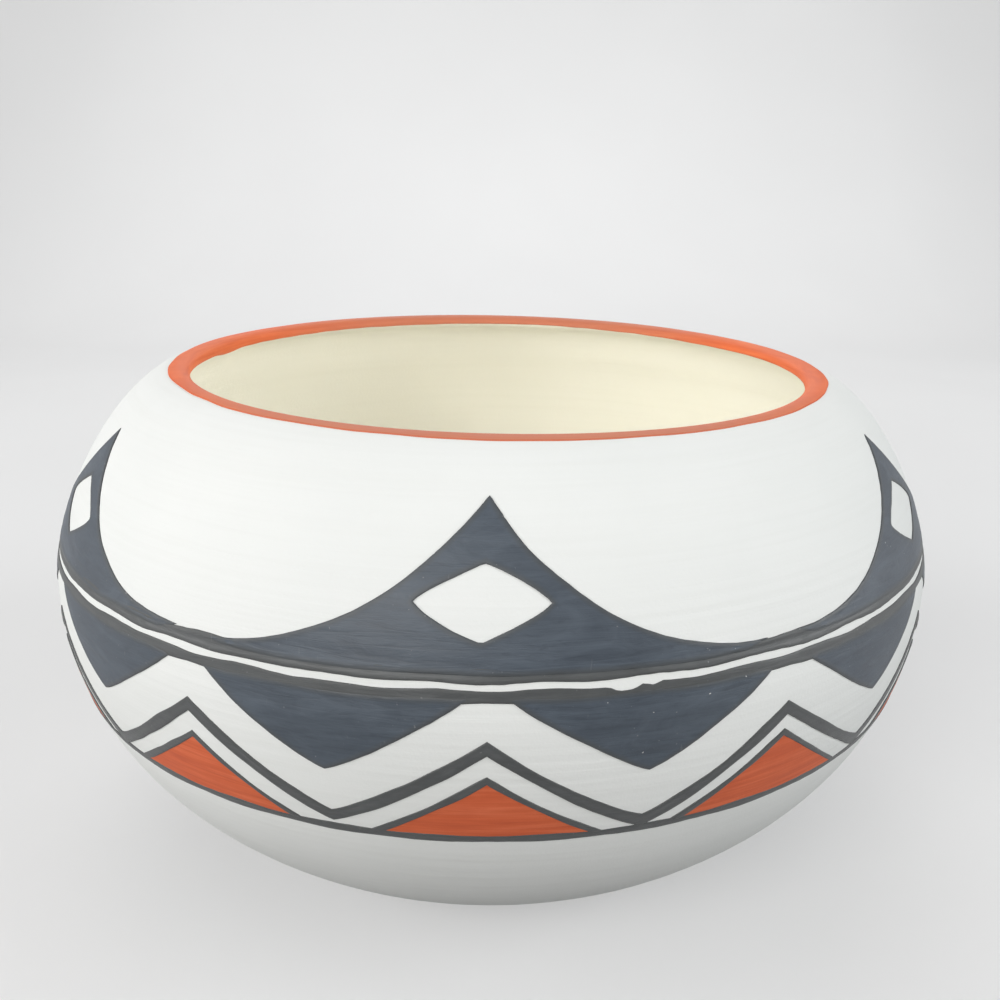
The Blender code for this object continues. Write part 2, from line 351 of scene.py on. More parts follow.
def field_grid(start, end, low, high, closed):
    """Grid of angles and heights, and the corners of its cells."""
    columns = max(8, round(math.radians(end - start) * BELLY_RADIUS / CELL_ROUND))
    if closed:
        columns = 2 * TOOTH_COUNT * round(columns / (2 * TOOTH_COUNT))
    rows = max(4, round((high - low) / CELL_UP))
    angle = np.linspace(start, end, columns + 1)[: columns if closed else columns + 1]
    height = np.linspace(low, high, rows + 1)
    step = len(height)
    i, j = np.meshgrid(np.arange(columns), np.arange(rows), indexing="ij")
    after = (i + 1) % len(angle)
    a, b = (i * step + j).ravel(), (after * step + j).ravel()
    return angle, height, np.stack([a, b, b + 1, a + 1], -1)


def cell_faces(cells, values):
    """Two triangles for each cell, cut along the diagonal that runs with the film's edge."""
    a, b, c, d = cells.T
    along = (np.abs(values[a] - values[c]) <= np.abs(values[b] - values[d]))[:, None]
    first = np.where(along, np.stack([a, b, c], -1), np.stack([a, b, d], -1))
    second = np.where(along, np.stack([a, c, d], -1), np.stack([b, c, d], -1))
    return np.concatenate([first, second])


def edge_distance(field, turn, level, aside=0.05, rise=0.05 * MM, least_slope=0.3):
    """The field over its slope: about the distance to the film's edge, in metres along the surface."""
    radius = np.interp(level, HEIGHT, RADIUS)
    around = (field(turn + aside, level) - field(turn - aside, level)) / (2 * math.radians(aside) * radius)
    run = np.interp(level + rise, HEIGHT, RUN) - np.interp(level - rise, HEIGHT, RUN)
    up = (field(turn, level + rise) - field(turn, level - rise)) / run
    return field(turn, level) / np.maximum(np.hypot(around, up), least_slope)


def closed_shell(top, under, faces):
    """A film's upper side, its under side and the wall between them."""
    count = len(top)
    ends = np.concatenate([faces[:, [0, 1]], faces[:, [1, 2]], faces[:, [2, 0]]])
    key = np.sort(ends, axis=1)
    _, index, times = np.unique(key, axis=0, return_inverse=True, return_counts=True)
    rim = ends[times[index.reshape(-1)] == 1]
    wall = [np.stack([rim[:, 1], rim[:, 0], rim[:, 0] + count], -1)]
    wall.append(np.stack([rim[:, 1], rim[:, 0] + count, rim[:, 1] + count], -1))
    return np.concatenate([top, under]), np.concatenate([faces, faces[:, ::-1] + count, *wall])


def level_middle(angle):
    """The middle of a film that runs level round the bowl."""
    return 0.0 * angle


def film(node, field, span, reach, depth, wobble, seed, material, middle=level_middle):
    """Paint where field(angle, height) is above zero, with an uneven edge and a brushed face.

    The film lies between the heights of reach, which are measured from its middle line, and its brush
    strokes run along that line.
    """
    start, end = span
    closed = end - start >= 360.0
    angle, height, cells = field_grid(start, end, *reach, closed)
    turn, level = np.meshgrid(angle, height, indexing="ij")
    level = level + middle(turn)
    painted = field(turn, level)
    distance = edge_distance(field, turn, level)
    distance += wobble * waves(turn, level, seed, 40, 0.5)
    distance += 0.2 * wobble * waves(turn, level, seed + 1, 200, 2.0)
    distance = np.where(painted < -FAR_OUTSIDE, -FAR_OUTSIDE, distance)
    points = np.stack([turn.ravel(), level.ravel()], -1)
    if closed:
        points = np.concatenate([points, points[: len(height)] + (360.0, 0.0)])
        last = cells[:, 0] >= (len(angle) - 1) * len(height)
        seam = last[:, None] & (cells < len(height))
        cells = np.where(seam, cells + len(angle) * len(height), cells)
        distance = np.concatenate([distance, distance[:1]])
    values = distance.ravel()
    faces = cell_faces(cells, values)
    for edge in EDGE_LEVELS:
        points, values, faces = split_at(edge, points, values, faces)
    faces = faces[values[faces].min(1) >= 0.0]
    kept, index = np.unique(faces, return_inverse=True)
    faces = index.reshape(-1, 3)
    points, values = points[kept], values[kept]
    lift = depth * np.interp(values, EDGE_LEVELS, EDGE_LIFT)
    inner = np.clip(values / OUTLINE, 0.0, 1.0)
    across = points[:, 1] - middle(points[:, 0])
    lift += BRUSH_RELIEF * inner * waves(points[:, 0], across, seed + 2, 9, 4.0, 9)
    top, under = on_slip(points, lift), on_slip(points, np.full(len(points), -SINK))
    if closed:
        first, faces = weld_seam(points, faces)
        top, under, inner = top[first], under[first], inner[first]
    shell, shell_faces = closed_shell(top, under, faces)
    inner = np.concatenate([inner, inner])
    add_piece(node + "_paint", shell, shell_faces, material, node, inner)


def weld_seam(points, faces):
    """Joins the two ends of a film that runs all the way round: the points to keep and the new faces."""
    wrapped = points.copy()
    wrapped[:, 0] = np.mod(np.round(wrapped[:, 0], 7), 360.0)
    _, first, index = np.unique(np.round(wrapped, 9), axis=0, return_index=True, return_inverse=True)
    return first, index.reshape(-1)[faces]


def on_slip(points, lift):
    """Places on the slip from angles and heights, raised by lift."""
    radius, height = profile_at(points[:, 1], lift)
    turn = np.radians(points[:, 0])
    return hand_made(np.stack([radius * np.cos(turn), radius * np.sin(turn), height], -1))


# Materials

def seen(tree):
    """1 for what the camera sees, by itself or in something glossy or clear, and 0 for bounced light."""
    path = tree.nodes.new("ShaderNodeLightPath")
    total = path.outputs["Is Camera Ray"]
    for ray in ("Is Glossy Ray", "Is Transmission Ray"):
        most = tree.nodes.new("ShaderNodeMath")
        most.operation = "MAXIMUM"
        tree.links.new(total, most.inputs[0])
        tree.links.new(path.outputs[ray], most.inputs[1])
        total = most.outputs[0]
    return total


class Nodes:
    """A short way to add shader nodes to a material."""

    def __init__(self, name):
        self.material = bpy.data.materials.new(name)
        self.material.use_nodes = True
        self.tree = self.material.node_tree
        self.shader = self.tree.nodes["Principled BSDF"]
        self.place = self.add("ShaderNodeTexCoord").outputs["Object"]

    def add(self, kind, **values):
        """A new node, with values for its own settings."""
        node = self.tree.nodes.new(kind)
        for key, value in values.items():
            setattr(node, key, value)
        return node

    def link(self, source, target):
        self.tree.links.new(source, target)

    def axis(self, name):
        """One coordinate of the place on the surface."""
        apart = self.add("ShaderNodeSeparateXYZ")
        self.link(self.place, apart.inputs[0])
        return apart.outputs[name]

    def noise(self, scale, detail=3.0, roughness=0.55, distortion=0.0):
        """Noise whose cells per metre are given for X, Y and Z."""
        mapping = self.add("ShaderNodeMapping")
        mapping.inputs["Scale"].default_value = scale
        self.link(self.place, mapping.inputs["Vector"])
        node = self.add("ShaderNodeTexNoise")
        node.inputs["Scale"].default_value = 1.0
        node.inputs["Detail"].default_value = detail
        node.inputs["Roughness"].default_value = roughness
        node.inputs["Distortion"].default_value = distortion
        self.link(mapping.outputs["Vector"], node.inputs["Vector"])
        return node.outputs["Fac"]

    def ramp(self, source, *stops):
        """Colours at positions of a source from 0 to 1."""
        node = self.add("ShaderNodeValToRGB")
        elements = node.color_ramp.elements
        while len(elements) < len(stops):
            elements.new(0.5)
        for element, (position, colour) in zip(elements, stops):
            element.position = position
            element.color = (*colour, 1.0)
        self.link(source, node.inputs["Fac"])
        return node.outputs["Color"]

    def blend(self, share, first, second):
        """The first colour where the share is 0 and the second where it is 1."""
        node = self.add("ShaderNodeMix", data_type="RGBA")
        for value, socket in ((share, node.inputs[0]), (first, node.inputs[6]), (second, node.inputs[7])):
            if isinstance(value, bpy.types.NodeSocket):
                self.link(value, socket)
            else:
                socket.default_value = value if isinstance(value, float) else (*value, 1.0)
        return node.outputs[2]

    def range(self, source, low, high, from_low=0.0, from_high=1.0):
        """Low where the source is at from_low, high where it is at from_high, and no further."""
        node = self.add("ShaderNodeMapRange")
        node.inputs["From Min"].default_value = from_low
        node.inputs["From Max"].default_value = from_high
        node.inputs["To Min"].default_value = low
        node.inputs["To Max"].default_value = high
        self.link(source, node.inputs["Value"])
        return node.outputs["Result"]

    def math(self, kind, *sources):
        node = self.add("ShaderNodeMath", operation=kind)
        for source, socket in zip(sources, node.inputs):
            self.link(source, socket)
        return node.outputs[0]

    def bump(self, source, strength, distance, before=None):
        """Fine relief, on top of the relief before it."""
        node = self.add("ShaderNodeBump")
        node.inputs["Strength"].default_value = strength
        node.inputs["Distance"].default_value = distance
        self.link(source, node.inputs["Height"])
        if before is not None:
            self.link(before, node.inputs["Normal"])
        return node.outputs["Normal"]

    def inner(self):
        """The share of the way in from a film's edge."""
        return self.add("ShaderNodeAttribute", attribute_name="inner").outputs["Fac"]

    def finish(self, colour, roughness, normal, specular):
        self.link(colour, self.shader.inputs["Base Color"])
        self.link(roughness, self.shader.inputs["Roughness"])
        self.link(normal, self.shader.inputs["Normal"])
        self.shader.inputs["Specular IOR Level"].default_value = specular
        return self.material


def slip_material():
    """Matte white slip with faint turning lines and a fine grain."""
    n = Nodes("white_slip")
    lines = n.noise((25, 25, 1500), 4.0, 0.6)
    bands = n.noise((12, 12, 160), 2.0)
    grain = n.noise((2600, 2600, 2600), 2.0)
    cloud = n.noise((35, 35, 35), 3.0)
    colour = n.ramp(cloud, (0.3, (0.805, 0.818, 0.800)), (0.7, (0.838, 0.848, 0.830)))
    colour = n.blend(n.range(lines, 0.0, 0.30, 0.45, 0.75), colour, (0.77, 0.778, 0.752))
    colour = n.blend(n.range(bands, 0.0, 0.25, 0.5, 0.8), colour, (0.86, 0.866, 0.852))
    normal = n.bump(lines, 0.22, 0.0002)
    normal = n.bump(grain, 0.18, 0.00012, normal)
    return n.finish(colour, n.range(grain, 0.70, 0.86), normal, 0.35)


def clay_material():
    """Bare cream clay with soft mottling and rubbed turning lines."""
    n = Nodes("cream_clay")
    lines = n.noise((15, 15, 700), 3.0)
    cloud = n.noise((30, 30, 30), 4.0)
    grain = n.noise((1800, 1800, 1800), 2.0)
    colour = n.ramp(cloud, (0.25, (0.866, 0.848, 0.750)), (0.75, (0.902, 0.884, 0.796)))
    colour = n.blend(n.range(lines, 0.0, 0.3, 0.45, 0.8), colour, (0.834, 0.814, 0.713))
    normal = n.bump(lines, 0.2, 0.0003)
    normal = n.bump(grain, 0.2, 0.00015, normal)
    return n.finish(colour, n.range(grain, 0.78, 0.92), normal, 0.3)


def orange_material(name, thick, usual, thin, edge, painted_shade=None):
    """Iron orange paint that shows its brush marks, pools darker at its edge and, given a shade colour, has
    painted shade towards the front and back.
    """
    n = Nodes(name)
    strokes = n.noise((60, 60, 1500), 4.0, 0.6, 0.4)
    cloud = n.noise((170, 170, 170), 3.0)
    grain = n.noise((2400, 2400, 2400), 2.0)
    colour = n.ramp(strokes, (0.3, thick), (0.5, usual), (0.75, thin))
    colour = n.blend(n.range(cloud, 0.0, 0.5, 0.5, 0.8), colour, thick)
    # Painted shade: the colour goes darker and duller towards the front and back of the bowl.
    if painted_shade is not None:
        share = n.range(n.math("ABSOLUTE", n.axis("Y")), 0.0, LIP_SHADE_SHARE, LIP_SHADE_START, LIP_SHADE_END)
        colour = n.blend(share, colour, painted_shade)
    colour = n.blend(n.range(n.inner(), 0.45, 0.0, 0.0, 0.4), colour, edge)
    normal = n.bump(strokes, 0.35, 0.00018)
    normal = n.bump(grain, 0.15, 0.0001, normal)
    return n.finish(colour, n.range(strokes, 0.55, 0.72), normal, 0.35)


def black_material(name, thick, usual, thin):
    """Slate paint with soft brush marks, a drawn outline, blotches, scratches, dust and a few chips."""
    n = Nodes(name)
    strokes = n.noise((120, 120, 1300), 5.0, 0.6, 0.8)
    broad = n.noise((110, 110, 260), 4.0, 0.6, 1.0)
    dabs = n.noise((420, 420, 1500), 3.0, 0.6, 0.5)
    specks = n.noise((2100, 2100, 2100), 1.0)
    chips = n.noise((850, 850, 1100), 2.0, 0.6)
    scratch = n.noise((2200, 130, 420), 2.0, 0.5, 0.3)
    colour = n.ramp(strokes, (0.25, thick), (0.5, usual), (0.95, thin))
    colour = n.blend(n.range(broad, 0.0, 0.8, 0.48, 0.72), colour, thin)
    colour = n.blend(n.range(broad, 0.6, 0.0, 0.25, 0.42), colour, thick)
    colour = n.blend(n.range(dabs, 0.0, 0.45, 0.60, 0.72), colour, thick)
    colour = n.blend(n.range(n.inner(), 0.7, 0.0, 0.15, 0.75), colour, (0.052, 0.055, 0.055))
    colour = n.blend(n.range(scratch, 0.0, 0.4, 0.72, 0.80), colour, (0.15, 0.155, 0.165))
    colour = n.blend(n.range(specks, 0.0, 0.5, 0.76, 0.80), colour, (0.22, 0.225, 0.23))
    colour = n.blend(n.range(chips, 0.0, 0.85, 0.765, 0.79), colour, (0.62, 0.62, 0.60))
    normal = n.bump(strokes, 0.4, 0.0002)
    normal = n.bump(broad, 0.25, 0.0003, normal)
    return n.finish(colour, n.range(strokes, 0.38, 0.58), normal, 0.5)


# Sub-parts

def wall_at(run):
    """The wall's thickness, which tapers towards the lip."""
    share = np.clip((run - RUN[-1] + LIP_TAPER) / LIP_TAPER, 0.0, 1.0)
    return WALL + (LIP_THICKNESS - WALL) * share * share * (3 - 2 * share)


def lip_path():
    """The wall's rounded end with the last of the inside and of the outside, from inside to outside."""
    run = np.linspace(RUN[-1] - LIP_REACH, RUN[-1], 40)
    outer = np.stack(profile_along(run), -1)
    inner = np.stack(profile_along(run, -wall_at(run)), -1)
    middle = (outer[-1] + inner[-1]) / 2
    up = (outer[-1] - inner[-1]) / LIP_THICKNESS
    tip = np.array([-up[1], up[0]])
    turn = np.linspace(0.0, math.pi, LIP_STEPS + 1)[1:-1, None]
    nose = middle - LIP_THICKNESS / 2 * np.cos(turn) * up + LIP_NOSE * np.sin(turn) * tip
    return inner, nose, outer[::-1]


def clay_bowl(material):
    """The clay, turned from one profile: inside, lip, the wall under the slip, and foot."""
    nose = lip_path()[1]
    lowest = np.interp(FLOOR * 0.05, HEIGHT, RUN)
    run = np.linspace(lowest, RUN[-1], INSIDE_STEPS)
    inside = np.stack(profile_along(run, -wall_at(run)), -1)
    inside = inside[inside[:, 1] > FLOOR + 0.5 * MM]
    body = np.stack(profile_along(np.linspace(RUN[-1], lowest, HIDDEN_STEPS), -COAT), -1)
    nose = nose - (nose - nose.mean(0)) * 2 * COAT / LIP_THICKNESS
    ring = FOOT_RADIUS - FOOT_RING
    floor = [(share * inside[0, 0], FLOOR + 0.4 * MM * share**6) for share in np.linspace(0.05, 0.97, 24)]
    foot = [(FOOT_RADIUS - 0.2 * MM, 0.25 * MM), (FOOT_RADIUS - 0.6 * MM, 0.0), (ring + 0.3 * MM, 0.0)]
    recess = [(ring - 0.4 * MM, 0.35 * MM), (ring - 1.1 * MM, 0.95 * MM), (ring - 2.0 * MM, UNDERSIDE_RECESS)]
    under = [(share * (ring - 2 * MM), UNDERSIDE_RECESS) for share in np.linspace(0.96, 0.05, 16)]
    profile = np.vstack([floor, inside, nose, body[:-1], foot, recess, under])
    points = ring_points(profile[:, :1], profile[:, 1:])
    rows = len(profile)
    poles = np.array([[0.0, 0.0, FLOOR], [0.0, 0.0, UNDERSIDE_RECESS]])
    column = np.arange(TURN_FACETS)
    after = (column + 1) % TURN_FACETS
    first, last = rows * TURN_FACETS, rows * TURN_FACETS + 1
    end = (rows - 1) * TURN_FACETS
    caps = [np.stack([np.full(TURN_FACETS, first), column, after], -1)]
    caps.append(np.stack([np.full(TURN_FACETS, last), end + after, end + column], -1))
    faces = np.concatenate([ring_faces(rows, False), *caps])
    points = hand_made(np.vstack([points, poles]))
    add_piece("clay_bowl_body", points, faces, material, "clay_bowl")


def slip_coat(material):
    """The white coat, with turning ripples, from just above the foot to under the lip band."""
    angle = turn_angles()
    run = np.linspace(0.8 * MM, RUN[-1] - 0.6 * MM, SLIP_STEPS)
    height = np.interp(run, RUN, HEIGHT)
    ripple = TURNING_RIPPLE * waves(angle[None, :], height[:, None], SLIP_SEED, 3, 4.5, 12)
    ripple[0], ripple[-1] = -COAT / 2, -COAT / 2
    outer = [profile_along(r, lift) for r, lift in zip(run, ripple)]
    hidden = np.linspace(run[0], run[-1], HIDDEN_STEPS)
    inner = [profile_along(r, np.full(TURN_FACETS, -COAT - SINK)) for r in hidden]
    rows = outer[::-1] + inner
    points = ring_points(np.array([r for r, _ in rows]), np.array([z for _, z in rows]))
    faces = ring_faces(len(rows), True)
    add_piece("white_slip_layer", hand_made(points), faces, material, "white_slip_coat")


def bell(angle, at, width, amount):
    """An amount at an angle that fades away on both sides of it."""
    away = np.mod(angle - at + 180.0, 360.0) - 180.0
    return amount * np.exp(-((away / width) ** 2))


def lip_band(material):
    """Orange over the lip. Its two edges wander as a brush does."""
    path = np.vstack(lip_path())
    length = np.concatenate([[0.0], np.cumsum(np.linalg.norm(np.diff(path, axis=0), axis=1))])
    way = np.gradient(path, axis=0)
    way /= np.linalg.norm(way, axis=1, keepdims=True)
    out = np.stack([-way[:, 1], way[:, 0]], -1)
    angle = turn_angles()
    tip, outside_end = length[len(path) // 2], length[-1] - LIP_REACH
    start = tip - BAND_REACH_INSIDE + BAND_WANDER_INSIDE * waves(angle, 0.0, LIP_SEED, 12, 0.0)
    start += bell(angle, *BAND_BACK_INSIDE)
    start += BAND_TREMBLE_INSIDE * waves(angle, 0.0, LIP_SEED + 1, 60, 0.0)
    start -= bell(angle, DRIP_ANGLE, DRIP_WIDTH, DRIP_LENGTH)
    end = outside_end + BAND_REACH_OUTSIDE + BAND_WANDER_OUTSIDE * waves(angle, 0.0, LIP_SEED + 2, 14, 0.0)
    end += BAND_TREMBLE_OUTSIDE * waves(angle, 0.0, LIP_SEED + 3, 70, 0.0)
    end += sum(bell(angle, *place) for place in BAND_OUTSIDE)
    share = np.concatenate([[0.0, 0.012, 0.035], np.linspace(0.08, 0.92, 30), [0.965, 0.988, 1.0]])
    edge = np.minimum(share, 1.0 - share)
    rows = []
    for across, inward in zip(share, edge):
        at = start + (end - start) * across
        lift = LIP_FILM * np.interp(inward, (0.0, 0.012, 0.035, 0.08), (0.0, 0.85, 1.15, 1.0))
        brushed = BRUSH_RELIEF * min(1.0, 8 * inward) * waves(angle, at, LIP_SEED + 4, 9, 3.0)
        rows.append((at, lift + brushed))
    rows += [(at, np.full(TURN_FACETS, -SINK)) for at, _ in rows[::-1]]
    radius, height = [], []
    for at, lift in rows:
        radius.append(np.interp(at, length, path[:, 0]) + lift * np.interp(at, length, out[:, 0]))
        height.append(np.interp(at, length, path[:, 1]) + lift * np.interp(at, length, out[:, 1]))
    points = ring_points(np.array(radius), np.array(height))
    faces = ring_faces(len(rows), True)
    inner = np.repeat(np.concatenate([edge, edge[::-1]]) / BAND_OUTLINE, TURN_FACETS)
    add_piece("orange_lip_band_paint", hand_made(points), faces, material, "orange_lip_band",
              np.clip(inner, 0.0, 1.0))


def line_field(middle, width, chips=()):
    """A line round the bowl. Paint is lost from its upper edge at each chip."""

    def field(angle, height):
        inside = width / 2 - np.abs(height - middle)
        for at, half, depth in chips:
            away = (np.mod(angle - at + 180.0, 360.0) - 180.0) / half
            lost = height - middle - width / 2 + depth * np.exp(-(away**4))
            inside = np.where(np.abs(away) < 1.6, np.minimum(inside, -lost), inside)
        return inside

    return field


def belly_lines(material):
    """The three level lines, at the heights of their CAD nodes."""
    chips = {"lower_black_line": LOWER_LINE_CHIPS}
    for i, name in enumerate(("upper_black_line", "lower_black_line", "bottom_black_line")):
        low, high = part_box(name)
        middle, width = (low.z + high.z) / 2, high.z - low.z
        field = line_field(middle, width, chips.get(name, ()))
        reach = (low.z - 1.2 * MM, high.z + 1.2 * MM)
        film(name, field, (FRONT - 180.0, FRONT + 180.0), reach, BLACK_FILM, LINE_WOBBLE,
             LINE_SEED + SEED_STEP * i, material)


def peak_field(centre, half, foot, top, lean):
    """A peak with sides that curve in, and a leaf left bare in it."""
    leaf_low, leaf_high = foot + LEAF_FOOT, foot + LEAF_SHARE * (top - foot)
    leaf_middle, leaf_rise = (leaf_low + leaf_high) / 2, (leaf_high - leaf_low) / 2

    def field(angle, height):
        rise = (height - foot) / (top - foot)
        shift = angle - centre - lean * np.clip(rise, 0.0, 1.0)
        edge = foot + (top - foot) * np.maximum(0.0, 1.0 - np.abs(shift) / half) ** PEAK_CURVE
        lap = PEAK_LAP * np.clip((half - np.abs(shift)) / PEAK_TAIL, 0.0, 1.0) - 0.1 * MM
        body = np.minimum(edge - height, height - foot + lap)
        leaf = leaf_rise * np.maximum(0.0, 1.0 - np.abs(shift) / LEAF_HALF) ** LEAF_CURVE
        beyond = np.radians(np.maximum(0.0, np.abs(shift) - LEAF_HALF)) * BELLY_RADIUS
        bare = np.hypot(np.abs(height - leaf_middle) - leaf, beyond)
        bare = np.where(np.abs(height - leaf_middle) < leaf, -bare, bare)
        return np.minimum(body, bare)

    return field


def shoulder_peaks(material):
    """The peaks on the upper line, each a little different."""
    step = 360.0 / PEAK_COUNT
    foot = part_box("upper_black_line")[1].z
    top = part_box("shoulder_peak_01")[1].z
    for i in range(PEAK_COUNT):
        centre = FRONT + i * step + draw.uniform(-0.7, 0.7)
        head = top + draw.uniform(-0.7, 0.5) * MM
        half = step / 2 - PEAK_SPACE + draw.uniform(-0.4, 0.4)
        field = peak_field(centre, half, foot, head, draw.uniform(-1.2, 1.2))
        node = f"shoulder_peak_{i + 1:02d}"
        film(node, field, (centre - step / 2, centre + step / 2), (foot - 1.5 * MM, head + 0.8 * MM),
             FILL_FILM, PEAK_WOBBLE, PEAK_SEED + SEED_STEP * i, material)


def zigzag_heights():
    """The lowest and highest of the zigzag's middle."""
    low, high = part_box("zigzag_black_line")
    return low.z + ZIGZAG_WIDTH / 2, high.z - ZIGZAG_WIDTH / 2


def zigzag_middle(angle):
    """The height of the zigzag's middle at an angle."""
    low, high = zigzag_heights()
    half = 180.0 / TOOTH_COUNT
    away = np.abs(np.mod(angle - FRONT + half, 2 * half) - half)
    return low + (high - low) * np.maximum(0.0, 1.0 - away / half) ** TOOTH_CURVE


def zigzag_line(material):
    """The zigzag, and a finer line along the edge of each orange tooth under it."""
    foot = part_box("bottom_black_line")[1].z - 0.3 * MM

    def field(angle, height):
        across = height - zigzag_middle(angle)
        wander = ZIGZAG_WANDER * waves(angle, 0.0, ZIGZAG_WANDER_SEED, 10, 0.0)
        line = ZIGZAG_WIDTH / 2 - np.abs(across - wander)
        outline = OUTLINE_WIDTH / 2 - np.abs(across + orange_drop(angle))
        return np.maximum(line, np.minimum(outline, height - foot))

    reach = (-ZIGZAG_WIDTH - ORANGE_TOOTH_SPACE - OUTLINE_WIDTH, ZIGZAG_WIDTH / 2 + 1.2 * MM)
    film("zigzag_black_line", field, (FRONT - 180.0, FRONT + 180.0), reach, ZIGZAG_FILM, ZIGZAG_WOBBLE,
         ZIGZAG_SEED, material, zigzag_middle)


def orange_drop(angle):
    """How far an orange tooth's edge lies under the zigzag's middle."""
    wander = OUTLINE_WANDER * waves(angle, 0.0, OUTLINE_WANDER_SEED, 9, 0.0)
    return ZIGZAG_WIDTH / 2 + ORANGE_TOOTH_SPACE + wander


def black_teeth(material):
    """Black teeth that hang from the lower line into the zigzag's valleys."""
    step = 360.0 / TOOTH_COUNT
    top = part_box("lower_black_line")[0].z + 0.5 * MM
    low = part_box("bottom_black_line")[1].z + 2.0 * MM
    for i in range(TOOTH_COUNT):
        rise = ZIGZAG_WIDTH / 2 + BLACK_TOOTH_SPACE + draw.uniform(-0.4, 0.4) * MM
        centre = FRONT + (i + 0.5) * step

        def field(angle, height):
            inside = np.minimum(height - zigzag_middle(angle) - rise, top - height)
            return np.where(np.abs(angle - centre) < step / 2, inside, -MM)

        film(f"black_tooth_{i + 1:02d}", field, (centre - step / 2, centre + step / 2), (low, top + 0.5 * MM),
             FILL_FILM, BLACK_TOOTH_WOBBLE, BLACK_TOOTH_SEED + SEED_STEP * i, material)


def orange_teeth(material):
    """Orange teeth that stand on the bottom line under the zigzag's heads."""
    step = 360.0 / TOOTH_COUNT
    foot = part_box("bottom_black_line")[1].z - 0.4 * MM
    reach = (foot - 0.4 * MM, zigzag_heights()[1])
    for i in range(TOOTH_COUNT):
        centre = FRONT + i * step

        def field(angle, height):
            inside = np.minimum(zigzag_middle(angle) - orange_drop(angle) - height, height - foot)
            return np.where(np.abs(angle - centre) < step / 2, inside, -MM)

        film(f"orange_tooth_{i + 1:02d}", field, (centre - step / 2, centre + step / 2), reach,
             ORANGE_FILM, ORANGE_TOOTH_WOBBLE, ORANGE_TOOTH_SEED + SEED_STEP * i, material)


# Stage, light and camera

def far_from_middle(n):
    """0 round the bowl and up the backdrop, and 1 towards the lamps in front and at the sides."""
    aside = n.range(n.math("ABSOLUTE", n.axis("X")), 0.0, 1.0, *FAR_ASIDE)
    ahead = n.range(n.axis("Y"), 1.0, 0.0, *FAR_AHEAD)
    return n.math("MAXIMUM", aside, ahead)


def floor():
    """A pale sweep, a hair under the foot, that shows in part by itself so that lamps don't mark it."""
    bend_start = SWEEP_BACK - SWEEP_BEND
    profile = [(-SWEEP_HALF, 0.0), (bend_start, 0.0)]
    for turn in np.linspace(0.0, math.pi / 2, 24)[1:]:
        profile.append((bend_start + SWEEP_BEND * math.sin(turn), SWEEP_BEND - SWEEP_BEND * math.cos(turn)))
    profile.append((SWEEP_BACK, SWEEP_RISE))
    points = np.array([(x, y, z - SWEEP_DROP) for x in (-SWEEP_HALF, SWEEP_HALF) for y, z in profile])
    count = len(profile)
    i = np.arange(count - 1)
    mesh = make_mesh("floor", points, np.stack([i, i + count, i + count + 1, i + 1], -1))
    stage = bpy.data.objects.new("floor", mesh)
    bpy.context.scene.collection.objects.link(stage)
    n = Nodes("floor")
    shown = seen(n.tree)
    far = far_from_middle(n)
    pale = n.ramp(n.noise((6, 6, 6), 2.0), (0.2, FLOOR_LOW), (0.8, FLOOR_HIGH))
    pale = n.blend(far, pale, FLOOR_FAR)
    n.link(n.blend(shown, FLOOR_BOUNCED, pale), n.shader.inputs["Base Color"])
    n.shader.inputs["Emission Color"].default_value = (1.0, 1.0, 1.0, 1.0)
    glow = n.math("MULTIPLY", shown, n.range(far, *FLOOR_GLOW))
    n.link(glow, n.shader.inputs["Emission Strength"])
    n.shader.inputs["Roughness"].default_value = 0.9
    mesh.materials.append(n.material)


def lamp(name, place, aim, power, colour=(1.0, 1.0, 1.0)):
    """A soft disk that faces the aim."""
    data = bpy.data.lights.new(name, "AREA")
    data.shape = "DISK"
    data.size = LAMP_SIZE
    data.energy = power
    data.color = colour
    light = bpy.data.objects.new(name, data)
    light.location = place
    light.rotation_euler = (Vector(aim) - Vector(place)).to_track_quat("-Z", "Y").to_euler()
    bpy.context.scene.collection.objects.link(light)


def mouth_lamp(name, azimuth, elevation, reach, power):
    """A narrow lamp that shines through the middle of the mouth and hardly meets the outside."""
    turn, rise = math.radians(azimuth), math.radians(elevation)
    way = Vector((math.cos(turn) * math.cos(rise), math.sin(turn) * math.cos(rise), math.sin(rise)))
    data = bpy.data.lights.new(name, "SPOT")
    data.energy = power
    data.spot_size = 2 * math.atan(reach / MOUTH_LAMP_DISTANCE)
    data.spot_blend = MOUTH_LAMP_BLEND
    data.shadow_soft_size = MOUTH_LAMP_SIZE
    light = bpy.data.objects.new(name, data)
    light.location = Vector((MOUTH_SHIFT_X, MOUTH_SHIFT_Y, RIM_HEIGHT)) + MOUTH_LAMP_DISTANCE * way
    light.rotation_euler = (-way).to_track_quat("-Z", "Y").to_euler()
    bpy.context.scene.collection.objects.link(light)


def lights():
    """Soft lamps round the bowl, narrow ones for its inside, and the world."""
    middle = (0.0, 0.0, BELLY_HEIGHT)
    lamp("key", (-0.50, -1.00, 0.60), middle, 8.9, (1.0, 0.99, 0.97))
    lamp("top", (-0.30, -0.10, 1.20), middle, 1.5)
    lamp("left", (-1.05, -0.30, 0.42), middle, 5.6)
    lamp("right", (1.05, -0.30, 0.42), middle, 8.2, (0.97, 0.99, 1.0))
    lamp("back", (0.0, 0.75, 0.60), middle, 3.4)
    mouth_lamp("mouth_over", 90.0, 90.0, 55.0 * MM, 19.0)
    for azimuth in (15.0, 65.0, 115.0, 165.0):
        mouth_lamp(f"mouth_{azimuth:.0f}", azimuth, 45.0, 38.0 * MM, 15.0)
    surround()


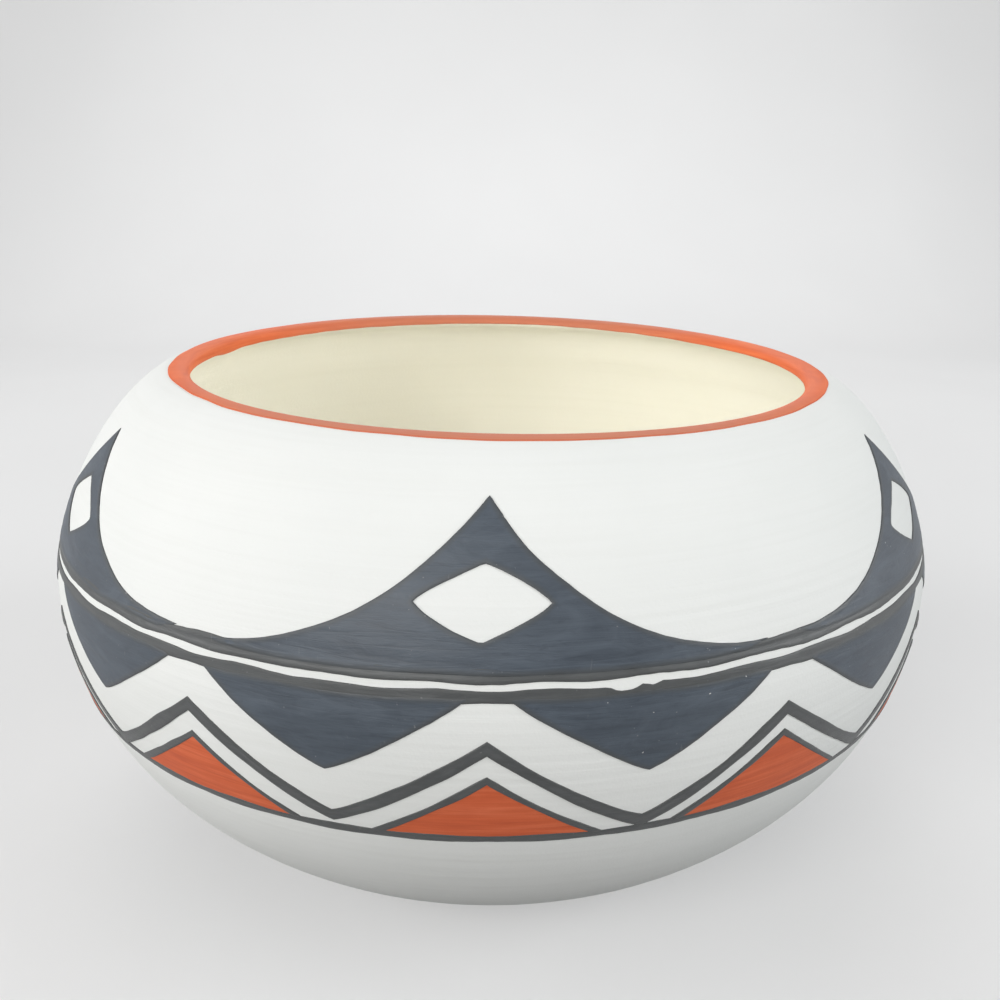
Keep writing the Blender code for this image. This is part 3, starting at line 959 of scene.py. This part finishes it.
def surround():
    """A soft world light, which shows in the floor's own tone where the camera sees past the floor."""
    world = bpy.data.worlds.new("studio")
    world.use_nodes = True
    tree = world.node_tree
    even = tree.nodes["Background"]
    shown = tree.nodes.new("ShaderNodeBackground")
    both = tree.nodes.new("ShaderNodeMixShader")
    even.inputs["Color"].default_value = (0.95, 0.97, 1.0, 1.0)
    even.inputs["Strength"].default_value = WORLD_LIGHT
    shown.inputs["Color"].default_value = (1.0, 1.0, 1.0, 1.0)
    shown.inputs["Strength"].default_value = WORLD_SHOWN
    tree.links.new(seen(tree), both.inputs[0])
    tree.links.new(even.outputs[0], both.inputs[1])
    tree.links.new(shown.outputs[0], both.inputs[2])
    tree.links.new(both.outputs[0], tree.nodes["World Output"].inputs["Surface"])
    bpy.context.scene.world = world


def camera():
    """The photograph's camera: ahead and down by its pitch, then rolled."""
    data = bpy.data.cameras.new("camera")
    data.sensor_width = SENSOR
    data.lens = SENSOR * FOCAL_SHARE
    data.clip_start, data.clip_end = 0.01, 20.0
    view = bpy.data.objects.new("camera", data)
    ahead = Vector((0.0, math.cos(CAMERA_PITCH), -math.sin(CAMERA_PITCH)))
    level = Vector((1.0, 0.0, 0.0))
    up = level.cross(ahead)
    right = math.cos(CAMERA_ROLL) * level - math.sin(CAMERA_ROLL) * up
    above = math.sin(CAMERA_ROLL) * level + math.cos(CAMERA_ROLL) * up
    turn = Matrix((right, above, -ahead)).transposed().to_4x4()
    view.matrix_world = Matrix.Translation(CAMERA_PLACE) @ turn
    bpy.context.scene.collection.objects.link(view)
    bpy.context.scene.camera = view


line_black = black_material("line_black", (0.046, 0.049, 0.051), (0.062, 0.066, 0.068), (0.090, 0.095, 0.097))
fill_black = black_material("fill_black", (0.032, 0.042, 0.057), (0.048, 0.062, 0.081), (0.072, 0.090, 0.114))
# The lip band's orange: the panel's paint made lighter by a painted sheen, with painted shade at its front
# and back.
lip_orange_sheen_and_shade = orange_material("lip_orange_sheen_and_shade", (0.68, 0.122, 0.036), (0.765, 0.156, 0.048), (0.83, 0.206, 0.074),
                             (0.585, 0.098, 0.032), (0.47, 0.182, 0.110))
panel_orange = orange_material("panel_orange", (0.53, 0.094, 0.034), (0.62, 0.124, 0.046),
                               (0.72, 0.172, 0.076), (0.44, 0.082, 0.034))
clay_bowl(clay_material())
slip_coat(slip_material())
lip_band(lip_orange_sheen_and_shade)
belly_lines(line_black)
shoulder_peaks(fill_black)
zigzag_line(line_black)
black_teeth(fill_black)
orange_teeth(panel_orange)
floor()
lights()
camera()
bpy.context.scene.view_settings.view_transform = "Standard"
